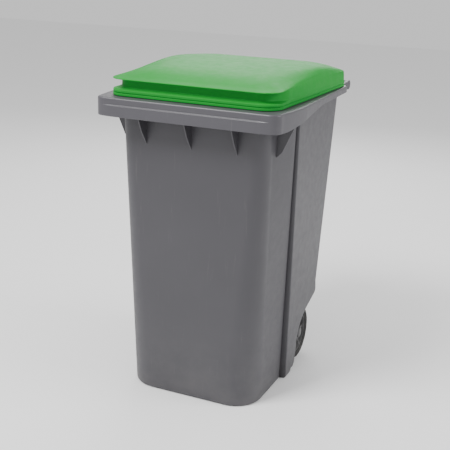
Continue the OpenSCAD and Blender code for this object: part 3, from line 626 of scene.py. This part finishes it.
def lid_shell(s):
    """The lid as one closed skin: from the middle of the crown's underside down the inside, round the lower
    edge, up over the flange's bands, the recessed neck and the front lip, and onto the crown. Each control
    row holds front height, rear height, side inset, front inset, wrap, crown and corner droop, and its
    height is lerp(front, rear, v) + 4 crown v (1 - v), less the droop eased in at the rear corners."""
    gap = LID_GAP
    rise, crown, lip, rec, w = s.lid_rise, s.lid_crown, s.lip_height, s.lip_recess, s.lid_wall
    near, mid, far = 0.090, 0.200, 0.450
    # The outside, from the lower edge up to the crown.
    outer = np.array([
        [gap, gap, 0.0020, 0.0020, near, 0, 0],
        [gap, gap, 0, 0, near, 0, 0],
        [gap + 0.001, gap + 0.001, 0, 0, near, 0, 0],
        [0.0088, 0.0088, 0.0003, 0.0003, near, 0, 0],
        [0.0096, 0.0096, 0.0008, 0.0008, near, 0, 0],
        [0.0102, 0.0102, 0.0024, 0.0026, near, 0, 0],
        [0.0112, 0.0112, 0.0026, 0.0030, near, 0, 0],
        [0.0120, 0.0120, 0.0010, 0.0010, near, 0, 0],
        [0.0128, 0.0128, 0.0006, 0.0006, near, 0, 0],
        [0.0195, 0.0195, 0.0008, 0.0008, near, 0, 0],
        [0.0215, 0.0215, 0.0012, 0.0020, near, 0, 0],
        [0.0235, 0.0235, 0.0018, rec - 0.007, near, 0, 0],
        [0.0245, 0.0245, 0.0020, rec - 0.003, near, 0, 0],
        [0.0275, 0.0275, 0.0022, rec - 0.0005, near, 0, 0],
        [lip - 0.008, rise - 0.033, 0.0032, rec, near, 0, 0],
        [lip - 0.002, rise - 0.027, 0.0042, rec - 0.001, near, 0, 0],
        [lip, rise - 0.025, 0.0048, rec - 0.007, near, 0, 0],
        [lip + 0.0002, rise - 0.0245, 0.0050, 0.004, near, 0, 0],
        [lip + 0.0004, rise - 0.0240, 0.0052, 0.0004, near, 0, 0],
        [lip + 0.0012, rise - 0.0228, 0.0058, 0.0001, near, 0.0005, 0.0005],
        [lip + 0.0026, rise - 0.0200, 0.0080, 0.0006, mid, 0.0018, 0.003],
        [lip + 0.0040, rise - 0.0165, 0.0115, 0.0080, mid, 0.004, 0.005],
        [lip + 0.0062, rise - 0.0120, 0.0170, 0.0260, 0.400, 0.65 * crown, 0.008],
        [lip + 0.0090, rise - 0.0070, 0.0260, 0.0460, far, crown, 0.012],
        [lip + 0.0112, rise - 0.0040, 0.0400, 0.0700, far, 1.30 * crown, 0.013],
        [lip + 0.0142, rise - 0.0020, 0.0660, 0.1000, far, 1.36 * crown, 0.010],
        [lip + 0.0190, rise - 0.0010, 0.1300, 0.1500, far, 1.15 * crown, 0.004],
        [lip + 0.0210, rise - 0.0005, 0.2000, 0.2150, far, 1.07 * crown, 0.001],
        [lip + 0.0220, rise, 0.2620, 0.2700, far, crown, 0],
        [lip + 0.0220, rise, 0.2900, 0.3100, far, crown, 0]])
    # The inside, from the lower edge up to the underside of the crown.
    inner = np.array([
        [gap, gap, w, w, near, 0, 0],
        [0.015, 0.015, w + 0.001, w, near, 0, 0],
        [0.019, 0.019, w + 0.002, w + 0.006, near, 0, 0],
        [0.021, 0.021, w + 0.002, rec + w, near, 0, 0],
        [lip - 0.008, rise - 0.035, w + 0.004, rec + w, near, 0, 0],
        [lip - 0.002, rise - 0.027, w + 0.006, rec + w + 0.003, near, 0, 0],
        [lip + 0.0005, rise - 0.021, w + 0.010, rec + w + 0.008, mid, 0.0028, 0.004],
        [lip + 0.0025, rise - 0.016, w + 0.016, 0.046, 0.400, 0.65 * crown, 0.008],
        [lip + 0.0045, rise - 0.0115, w + 0.024, 0.060, far, crown, 0.012],
        [lip + 0.0065, rise - 0.0085, w + 0.037, 0.082, far, 1.30 * crown, 0.013],
        [lip + 0.0095, rise - 0.0065, w + 0.063, 0.110, far, 1.36 * crown, 0.010],
        [lip + 0.0145, rise - 0.0055, w + 0.128, 0.156, far, 1.15 * crown, 0.004],
        [lip + 0.0165, rise - 0.0050, 0.202, 0.218, far, 1.07 * crown, 0.001],
        [lip + 0.0175, rise - 0.0045, 0.262, 0.270, far, crown, 0]])
    rows = np.concatenate([softened(inner[::-1], 2), softened(outer, 2)])
    outline = lid_outline(s, rows[:, 2], rows[:, 3], rows[:, 4])
    front, rear = FRONT_Y + s.lid_setback, REAR_Y - 0.008
    v = (outline[..., 1] - front) / (rear - front)
    u = np.abs(outline[..., 0]) / lid_half(s, rear)
    height = lerp(rows[:, :1], rows[:, 1:2], v) + rows[:, 5:6] * 4 * v * (1 - v)
    height = height - rows[:, 6:] * ease((u - 0.53) / 0.43) * ease((v - 0.6) / 0.4)
    return loft(place(outline, RIM_TOP + height))


def knuckle_shells(s):
    """One hinge knuckle: a swan-neck plate from the lid's rear side to a barrel round the pin."""
    out = s.lug_inner - 0.002
    middle = out - s.knuckle / 2
    barrel = GRIP_R - 0.001
    rear = REAR_Y - 0.008
    upper = rounded([(rear - 0.006, RIM_TOP + 0.040), (HINGE_Y - 0.022, HINGE_Z + 0.030),
                     (HINGE_Y + 0.003, HINGE_Z + barrel - 0.0005)], 0.016, 7)
    lower = rounded([(HINGE_Y - barrel * 0.9, HINGE_Z - 0.003), (HINGE_Y - 0.036, RIM_TOP + 0.006),
                     (rear - 0.003, RIM_TOP + 0.006)], 0.014, 6)
    inner_turn = np.radians(np.linspace(88.0, 182.0, 12))
    seat = np.stack([HINGE_Y + (barrel - 0.002) * np.cos(inner_turn),
                     HINGE_Z + (barrel - 0.002) * np.sin(inner_turn)], -1)
    outline = np.concatenate([upper, seat, lower])
    pin_r = (PIN_HIGH[2] - PIN_LOW[2]) / 2 - 0.004
    arm = slab(outline, "YZ", middle, s.knuckle)
    ring = tube(out - s.knuckle, out, pin_r + 0.0001, barrel, HINGE_Y, HINGE_Z)
    return [arm, ring]


# Wheels -------------------------------------------------------------------------------------------

def tyre_shell(s):
    """Solid tyre: a closed section with bulged walls, round shoulders and three grooves round the tread."""
    inner = WHEEL_R * 0.38 * 2 + 0.00005
    x0, x1 = TYRE_LOW[0], TYRE_HIGH[0]
    width = x1 - x0
    share = np.linspace(0.0, 1.0, 61)
    groove = np.exp(-((share[None] - np.array([0.25, 0.5, 0.75])[:, None]) / 0.022) ** 4).sum(0)
    crown = WHEEL_R - 0.0012 * (2 * share - 1) ** 2 - s.tread_groove * groove
    shoulder = 0.007
    tread = np.stack([lerp(x0 + shoulder, x1 - shoulder, share), crown], -1)
    turn = np.radians(np.linspace(0.0, 80.0, 7))
    edge = WHEEL_R - 0.0012 - shoulder
    right = np.stack([x1 - shoulder + shoulder * np.sin(turn), edge + shoulder * np.cos(turn)], -1)[1:]
    side = np.array([[x1 - 0.0005, WHEEL_R - 0.013], [x1 - 0.0022, WHEEL_R - 0.0145],
                     [x1 - 0.0022, inner + 0.005], [x1 - 0.0030, inner]])
    mirror = np.array([x0 + x1, 0.0])
    turned_over = np.array([-1.0, 1.0])
    flank = np.concatenate([right, side])
    profile = np.concatenate([tread, flank, mirror + turned_over * flank[::-1]])
    if width <= 0:
        raise RuntimeError("the tyre has no width")
    return loft(turned(profile, 144), wrap=True)


def hub_shell():
    """Moulded hub: outer and inner faces over a polar grid. Each face is a dish between a rim flange and a
    boss, with six raised spokes whose sides fall away steeply."""
    count, steps = 240, 46
    rim_r = WHEEL_R * 0.76
    boss_r = AXLE_R + 0.010
    bore = AXLE_R + 0.0001
    inner_face, outer_face = HUB_LOW[0], HUB_HIGH[0]
    rim_in, rim_out = TYRE_LOW[0] + 0.005, TYRE_HIGH[0] - 0.005
    middle = (rim_in + rim_out) / 2
    angle = np.linspace(0.0, 2 * np.pi, count, endpoint=False)
    radius = np.concatenate([[bore], np.linspace(bore + 0.001, rim_r - 0.0005, steps), [rim_r]])[:, None]
    spoke = np.abs((angle * 6 / (2 * np.pi) + 0.5) % 1 - 0.5) * 2 * np.pi / 6
    across = spoke[None] * radius
    on_spoke = 1 - ease((across - 0.0045) / 0.0035)
    flange = ease((radius - (rim_r - 0.0085)) / 0.003)
    boss = 1 - ease((radius - boss_r) / 0.0035)
    ring = np.exp(-((radius - 0.050) / 0.0022) ** 4)

    def face(web, spoke_level, rim_level, boss_level):
        """Distance along X over the polar grid, from the height of each feature."""
        x = web + (spoke_level - web) * on_spoke
        x = x + (spoke_level - x) * ring * 0.6
        x = x + (rim_level - x) * flange
        return x + (boss_level - x) * boss

    outside = face(middle + 0.003, rim_out - 0.006, rim_out, outer_face - 0.005)
    inside = face(middle - 0.003, rim_in + 0.006, rim_in, inner_face)

    def surface(x):
        """Grid points from distances along X."""
        return np.stack([x, AXLE_Y + radius * np.cos(angle), AXLE_Z + radius * np.sin(angle)], -1)

    rings = np.concatenate([surface(inside)[::-1], surface(outside)])
    return loft(rings[:, ::-1], wrap=True)


def cap_shell():
    """Press-in hub cap: a closed dome with a rolled edge."""
    edge_r = AXLE_R + 0.0099
    x0, x1 = CAP_LOW[0], CAP_HIGH[0]
    turn = np.radians(np.linspace(0.0, 84.0, 14))
    dome_x = lerp(x1 - 0.003, x1, np.sin(turn))
    dome_r = edge_r * np.cos(turn) ** 0.7
    under = edge_r - 0.004
    profile = np.concatenate([
        [[x1 - 0.0045, 0.002], [x1 - 0.0045, under], [x0, under], [x0, edge_r], [x1 - 0.005, edge_r]],
        np.stack([dome_x, dome_r], -1)])
    return loft(turned(profile, 64)[:, ::-1])


# Finishes -----------------------------------------------------------------------------------------

def link(tree, source, target):
    """Joins an output socket to an input socket."""
    tree.links.new(source, target)


def node(tree, kind, **values):
    """Adds a shader node and sets its properties and the defaults of its named inputs."""
    made = tree.nodes.new(kind)
    for name, value in values.items():
        if hasattr(made, name):
            setattr(made, name, value)
        else:
            made.inputs[name.replace("_", " ")].default_value = value
    return made


def moulding_group():
    """Surface of a moulded plastic or rubber piece: a fine pebble grain, slow shifts of tone, faint scuffs
    and dust that gathers low down. It gives a colour, a roughness and a height."""
    tree = bpy.data.node_groups.new("Moulded surface", "ShaderNodeTree")
    face = tree.interface
    face.new_socket("Colour", in_out="INPUT", socket_type="NodeSocketColor")
    for name, default in (("Grain scale", 900.0), ("Grain depth", 1.0), ("Roughness", 0.45),
                          ("Tone shift", 0.08), ("Scuffs", 0.1), ("Dust", 0.1), ("Dust height", 0.25)):
        face.new_socket(name, in_out="INPUT", socket_type="NodeSocketFloat").default_value = default
    face.new_socket("Colour", in_out="OUTPUT", socket_type="NodeSocketColor")
    face.new_socket("Roughness", in_out="OUTPUT", socket_type="NodeSocketFloat")
    face.new_socket("Height", in_out="OUTPUT", socket_type="NodeSocketFloat")
    given = tree.nodes.new("NodeGroupInput")
    result = tree.nodes.new("NodeGroupOutput")
    place_on = tree.nodes.new("ShaderNodeTexCoord").outputs["Object"]

    def noise(scale, detail, rough=0.5):
        """Noise over the object's own coordinates."""
        made = node(tree, "ShaderNodeTexNoise", Detail=detail, Roughness=rough)
        link(tree, place_on, made.inputs["Vector"])
        if isinstance(scale, float):
            made.inputs["Scale"].default_value = scale
        else:
            link(tree, scale, made.inputs["Scale"])
        return made.outputs["Fac"]

    def maths(operation, first, second):
        """One arithmetic step, with a socket or a number on each side."""
        made = tree.nodes.new("ShaderNodeMath")
        made.operation = operation
        for socket, value in zip(made.inputs, (first, second)):
            if isinstance(value, (int, float)):
                socket.default_value = value
            else:
                link(tree, value, socket)
        return made.outputs[0]

    def remap(value, low, high, to_low, to_high):
        """Clamped straight remap of a value."""
        made = node(tree, "ShaderNodeMapRange", clamp=True)
        link(tree, value, made.inputs["Value"])
        for name, number in zip(("From Min", "From Max", "To Min", "To Max"), (low, high, to_low, to_high)):
            made.inputs[name].default_value = number
        return made.outputs["Result"]

    grain = noise(given.outputs["Grain scale"], 2.0)
    cloud = noise(3.5, 4.0, 0.6)
    mottle = noise(38.0, 3.0, 0.6)
    streak_place = node(tree, "ShaderNodeMapping")
    streak_place.inputs["Scale"].default_value = (46.0, 46.0, 3.0)
    link(tree, place_on, streak_place.inputs["Vector"])
    streak = node(tree, "ShaderNodeTexNoise", Scale=2.4, Detail=6.0, Roughness=0.7)
    link(tree, streak_place.outputs["Vector"], streak.inputs["Vector"])
    scuff = maths("MULTIPLY", remap(streak.outputs["Fac"], 0.60, 0.72, 0.0, 1.0), given.outputs["Scuffs"])
    tone = maths("ADD", remap(cloud, 0.3, 0.7, -1.0, 1.0), remap(mottle, 0.3, 0.7, -0.35, 0.35))
    tone = maths("ADD", maths("MULTIPLY", tone, given.outputs["Tone shift"]), 1.0)
    toned = node(tree, "ShaderNodeMix", data_type="RGBA", blend_type="MULTIPLY")
    toned.inputs["Factor"].default_value = 1.0
    link(tree, given.outputs["Colour"], toned.inputs[6])
    grey = tree.nodes.new("ShaderNodeCombineColor")
    for channel in grey.inputs:
        link(tree, tone, channel)
    link(tree, grey.outputs["Color"], toned.inputs[7])
    split = tree.nodes.new("ShaderNodeSeparateXYZ")
    link(tree, place_on, split.inputs[0])
    low_down = maths("SUBTRACT", 1.0, maths("DIVIDE", split.outputs["Z"], given.outputs["Dust height"]))
    low_down = maths("MAXIMUM", low_down, 0.0)
    patchy = remap(noise(9.0, 6.0, 0.65), 0.35, 0.75, 0.0, 1.0)
    dust = maths("MULTIPLY", maths("MULTIPLY", low_down, patchy), given.outputs["Dust"])
    marked = node(tree, "ShaderNodeMix", data_type="RGBA")
    link(tree, maths("MINIMUM", maths("ADD", scuff, dust), 0.6), marked.inputs["Factor"])
    link(tree, toned.outputs[2], marked.inputs[6])
    marked.inputs[7].default_value = (0.42, 0.40, 0.37, 1.0)
    link(tree, marked.outputs[2], result.inputs["Colour"])
    rough = maths("ADD", given.outputs["Roughness"], remap(mottle, 0.3, 0.7, -0.05, 0.05))
    rough = maths("ADD", rough, maths("MULTIPLY", maths("ADD", scuff, dust), 0.3))
    link(tree, rough, result.inputs["Roughness"])
    grained = maths("MULTIPLY", grain, given.outputs["Grain depth"])
    height = maths("ADD", grained, maths("MULTIPLY", mottle, 0.25))
    link(tree, height, result.inputs["Height"])
    return tree


def moulded(name, tint, group, roughness, grain_scale=900.0, grain_depth=1.0, bump=0.12, tone=0.05, scuffs=0.05,
            dust=0.08, specular=0.5, coat=0.0):
    """Plastic or rubber finish on the shared surface group."""
    material = bpy.data.materials.new(name)
    material.use_nodes = True
    tree = material.node_tree
    shader = tree.nodes["Principled BSDF"]
    surface = tree.nodes.new("ShaderNodeGroup")
    surface.node_tree = group
    surface.inputs["Colour"].default_value = (*tint, 1.0)
    for socket, value in (("Grain scale", grain_scale), ("Grain depth", grain_depth), ("Roughness", roughness),
                          ("Tone shift", tone), ("Scuffs", scuffs), ("Dust", dust), ("Dust height", 0.30)):
        surface.inputs[socket].default_value = value
    link(tree, surface.outputs["Colour"], shader.inputs["Base Color"])
    link(tree, surface.outputs["Roughness"], shader.inputs["Roughness"])
    relief = node(tree, "ShaderNodeBump", Strength=bump, Distance=0.0006)
    link(tree, surface.outputs["Height"], relief.inputs["Height"])
    link(tree, relief.outputs["Normal"], shader.inputs["Normal"])
    shader.inputs["Specular IOR Level"].default_value = specular
    shader.inputs["Coat Weight"].default_value = coat
    shader.inputs["Coat Roughness"].default_value = 0.3
    return material


def plated_steel(name, tint):
    """Zinc-plated steel: a bright metal with fine turning marks and cloudy spangle."""
    material = bpy.data.materials.new(name)
    material.use_nodes = True
    tree = material.node_tree
    shader = tree.nodes["Principled BSDF"]
    place_on = tree.nodes.new("ShaderNodeTexCoord").outputs["Object"]
    stretch = node(tree, "ShaderNodeMapping")
    stretch.inputs["Scale"].default_value = (900.0, 12.0, 12.0)
    link(tree, place_on, stretch.inputs["Vector"])
    marks = node(tree, "ShaderNodeTexNoise", Scale=1.0, Detail=3.0)
    link(tree, stretch.outputs["Vector"], marks.inputs["Vector"])
    spangle = node(tree, "ShaderNodeTexVoronoi", Scale=160.0)
    link(tree, place_on, spangle.inputs["Vector"])
    ramp = tree.nodes.new("ShaderNodeValToRGB")
    ramp.color_ramp.elements[0].color = (*[c * 0.72 for c in tint], 1.0)
    ramp.color_ramp.elements[1].color = (*tint, 1.0)
    link(tree, spangle.outputs["Distance"], ramp.inputs["Fac"])
    link(tree, ramp.outputs["Color"], shader.inputs["Base Color"])
    rough = node(tree, "ShaderNodeMapRange")
    rough.inputs["To Min"].default_value = 0.22
    rough.inputs["To Max"].default_value = 0.46
    link(tree, marks.outputs["Fac"], rough.inputs["Value"])
    link(tree, rough.outputs["Result"], shader.inputs["Roughness"])
    relief = node(tree, "ShaderNodeBump", Strength=0.08, Distance=0.0004)
    link(tree, marks.outputs["Fac"], relief.inputs["Height"])
    link(tree, relief.outputs["Normal"], shader.inputs["Normal"])
    shader.inputs["Metallic"].default_value = 1.0
    return material


FINISHES = {}


def finish_of(name):
    """A finish by name, made when first asked for."""
    if not FINISHES:
        tints = bpy.context.scene.bin_colours
        group = moulding_group()
        FINISHES["body"] = moulded("Body plastic", tints.body, group, 0.46, 1100.0, 1.0, 0.16, tone=0.045)
        # Painted light: the rim is the tub's grey plastic made paler, painting the light on the rim against the
        # shade on the tub below it.
        painted_light_rim_tint = [c * RIM_PAINTED_LIGHT for c in tints.body]
        FINISHES["rim"] = moulded("Rim plastic painted lighter", painted_light_rim_tint, group, 0.38, 1100.0, 1.0, 0.10, tone=0.03, dust=0.0)
        FINISHES["lid"] = moulded("Lid plastic", tints.lid, group, 0.52, 1100.0, 1.0, 0.08,
                                  tone=0.05, scuffs=0.02, dust=0.0, specular=0.10)
        FINISHES["tyre"] = moulded("Tyre rubber", tints.tyre, group, 0.72, 700.0, 1.0, 0.35,
                                   tone=0.12, scuffs=0.10, dust=0.15, specular=0.3)
        FINISHES["hub"] = moulded("Hub plastic", tints.hub, group, 0.42, 900.0, 1.0, 0.12, tone=0.06, dust=0.15)
        FINISHES["trim"] = moulded("Trim plastic", tints.trim, group, 0.36, 900.0, 1.0, 0.10, tone=0.05)
        FINISHES["steel"] = plated_steel("Plated steel", tints.steel)
    return FINISHES[name]


def refinish(cad_node, material):
    """Gives a carried-over CAD node its finish."""
    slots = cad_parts[cad_node].material_slots
    for slot in slots:
        slot.link = "OBJECT"
        slot.material = material


# Operators ----------------------------------------------------------------------------------------

class REFUSEBIN_OT_body(bpy.types.Operator):
    """Build the tub, the rim with its gussets, the grips and the axle webs"""

    bl_idname = "refusebin.body"
    bl_label = "Body moulding"

    def execute(self, context):
        s = context.scene.bin_sizes
        body, rim = finish_of("body"), finish_of("rim")
        cheek = cheek_shell(s)
        add_piece("tub_shell", [tub_shell(s)], "root", ["tub"], body)
        add_piece("wheel_skin_plates", [cheek, flipped(cheek)], "root", ["wheel_skins"], body,
                  bevel=0.0006)
        add_piece("rim_shell", [rim_shell(s)], "root", ["comb_rim"], rim)
        add_piece("gussets", gusset_shells(s), "root", ["comb_ribs"], body, bevel=0.0008)
        grip = grip_shells(s)
        add_piece("right_grip_bar", grip, "root", ["right_grip"], body, bevel=0.0012)
        left_grip = [flipped(shell) for shell in grip]
        add_piece("left_grip_bar", left_grip, "root", ["left_grip"], body, bevel=0.0012)
        add_piece("axle_webs", housing_shells(s), "root", ["axle_housing"], body, bevel=0.0010)
        return {"FINISHED"}


class REFUSEBIN_OT_lid(bpy.types.Operator):
    """Build the lid with its lip and hinge knuckles"""

    bl_idname = "refusebin.lid"
    bl_label = "Lid"

    def execute(self, context):
        s = context.scene.bin_sizes
        lid = finish_of("lid")
        add_piece("lid_shell", [lid_shell(s)], "lid", ["lid"], lid, crease=50.0)
        knuckle = knuckle_shells(s)
        shells = knuckle + [flipped(shell) for shell in knuckle]
        add_piece("lid_knuckles", shells, "lid", [], lid, bevel=0.0015)
        return {"FINISHED"}


class REFUSEBIN_OT_wheels(bpy.types.Operator):
    """Build the tyres, hubs and hub caps"""

    bl_idname = "refusebin.wheels"
    bl_label = "Wheels"

    def execute(self, context):
        s = context.scene.bin_sizes
        pieces = (
            ("tyre", tyre_shell(s), "tyre_rubber", "tyre"),
            ("hub", hub_shell(), "hub_plastic", "hub"),
            ("hub_cap", cap_shell(), "black_plastic", "trim"))
        for part, shell, slot, finish in pieces:
            for side, made in (("right", shell), ("left", flipped(shell))):
                add_piece(f"{side}_{part}_shell", [made], f"{side}_wheel", [f"{side}_{part}"],
                          finish_of(finish))
        return {"FINISHED"}


class REFUSEBIN_OT_metalwork(bpy.types.Operator):
    """Finish the axle, its washers and rings, and the hinge pins"""

    bl_idname = "refusebin.metalwork"
    bl_label = "Axle and pins"

    def execute(self, context):
        for cad_node in ("axle", "left_washer", "right_washer", "left_retaining_ring", "right_retaining_ring"):
            refinish(cad_node, finish_of("steel"))
        for cad_node in ("left_hinge_pin", "right_hinge_pin"):
            refinish(cad_node, finish_of("trim"))
        return {"FINISHED"}


CAMERA_PLACE = (1.166, -2.742, 1.488)
CAMERA_HEADING = 23.40
CAMERA_DOWN = 17.78
CAMERA_ROLL = 1.82
CAMERA_LENS = 68.8


def look(heading, down, roll):
    """Rotation of a camera that faces a heading east of north, tilted down and rolled, in degrees."""
    a, p, r = (math.radians(value) for value in (heading, down, roll))
    right = np.array([math.cos(a), math.sin(a), 0.0])
    ahead = np.array([-math.sin(a) * math.cos(p), math.cos(a) * math.cos(p), -math.sin(p)])
    up = np.cross(right, ahead)
    turned_right = math.cos(r) * right + math.sin(r) * up
    turned_up = -math.sin(r) * right + math.cos(r) * up
    return Matrix(np.stack([turned_right, turned_up, -ahead], 1).tolist())


def add_lamp(name, place_at, target, width, power):
    """Square area light at a place, turned to a target."""
    lamp = bpy.data.lights.new(name, "AREA")
    lamp.shape = "SQUARE"
    lamp.size = width
    lamp.energy = power
    lit = bpy.data.objects.new(name, lamp)
    away = np.array(place_at) - np.array(target)
    away = away / np.linalg.norm(away)
    side = np.cross((0.0, 0.0, 1.0), away)
    side = side / np.linalg.norm(side)
    turn = Matrix(np.stack([side, np.cross(away, side), away], 1).tolist()).to_4x4()
    turn.translation = place_at
    lit.matrix_world = turn
    bpy.context.scene.collection.objects.link(lit)


class REFUSEBIN_OT_stage(bpy.types.Operator):
    """Set the floor, the soft studio light and the camera"""

    bl_idname = "refusebin.stage"
    bl_label = "Stage"

    def execute(self, context):
        scene = context.scene
        world = bpy.data.worlds.new("Studio")
        world.use_nodes = True
        backdrop = world.node_tree.nodes["Background"]
        backdrop.inputs["Color"].default_value = (1.0, 1.0, 1.0, 1.0)
        backdrop.inputs["Strength"].default_value = 0.8
        scene.world = world
        reach = 12.0
        mesh = bpy.data.meshes.new("studio_floor")
        mesh.from_pydata([(-reach, -reach, 0), (reach, -reach, 0), (reach, reach, 0), (-reach, reach, 0)], [],
                         [(0, 1, 2, 3)])
        floor = bpy.data.objects.new("studio_floor", mesh)
        paint = bpy.data.materials.new("Studio floor")
        paint.use_nodes = True
        shader = paint.node_tree.nodes["Principled BSDF"]
        shader.inputs["Base Color"].default_value = (*scene.bin_colours.floor, 1.0)
        shader.inputs["Roughness"].default_value = 1.0
        mesh.materials.append(paint)
        scene.collection.objects.link(floor)
        target = (0.0, 0.0, 0.55)
        add_lamp("Key", (-1.4, -2.4, 4.2), target, 1.5, 230.0)
        add_lamp("Side", (3.6, 0.4, 2.6), target, 1.8, 80.0)
        add_lamp("Back", (-1.0, 3.2, 2.6), target, 2.2, 60.0)
        lens = bpy.data.cameras.new("Camera")
        lens.lens = CAMERA_LENS
        lens.sensor_width = 36.0
        camera = bpy.data.objects.new("Camera", lens)
        turn = look(CAMERA_HEADING, CAMERA_DOWN, CAMERA_ROLL).to_4x4()
        turn.translation = CAMERA_PLACE
        camera.matrix_world = turn
        scene.collection.objects.link(camera)
        scene.camera = camera
        return {"FINISHED"}


class REFUSEBIN_PT_build(bpy.types.Panel):
    """Sidebar panel that lists the bin's pieces, sizes and colours"""

    bl_idname = "REFUSEBIN_PT_build"
    bl_label = "Refuse bin"
    bl_space_type = "VIEW_3D"
    bl_region_type = "UI"
    bl_category = "Refuse bin"

    def draw(self, context):
        layout = self.layout
        for operator in OPERATORS:
            layout.operator(operator.bl_idname)
        for group in (context.scene.bin_sizes, context.scene.bin_colours):
            box = layout.box()
            for name in group.bl_rna.properties.keys():
                if name not in ("rna_type", "name"):
                    box.prop(group, name)


OPERATORS = (REFUSEBIN_OT_body, REFUSEBIN_OT_lid, REFUSEBIN_OT_wheels, REFUSEBIN_OT_metalwork,
             REFUSEBIN_OT_stage)
CLASSES = (BinSizes, BinColours, *OPERATORS, REFUSEBIN_PT_build)


def register():
    for cls in CLASSES:
        bpy.utils.register_class(cls)
    bpy.types.Scene.bin_sizes = bpy.props.PointerProperty(type=BinSizes)
    bpy.types.Scene.bin_colours = bpy.props.PointerProperty(type=BinColours)


def unregister():
    del bpy.types.Scene.bin_colours
    del bpy.types.Scene.bin_sizes
    for cls in reversed(CLASSES):
        bpy.utils.unregister_class(cls)


def main():
    """Builds every piece in order."""
    register()
    bpy.ops.refusebin.body()
    bpy.ops.refusebin.lid()
    bpy.ops.refusebin.wheels()
    bpy.ops.refusebin.metalwork()
    bpy.ops.refusebin.stage()


if __name__ == "__main__":
    main()
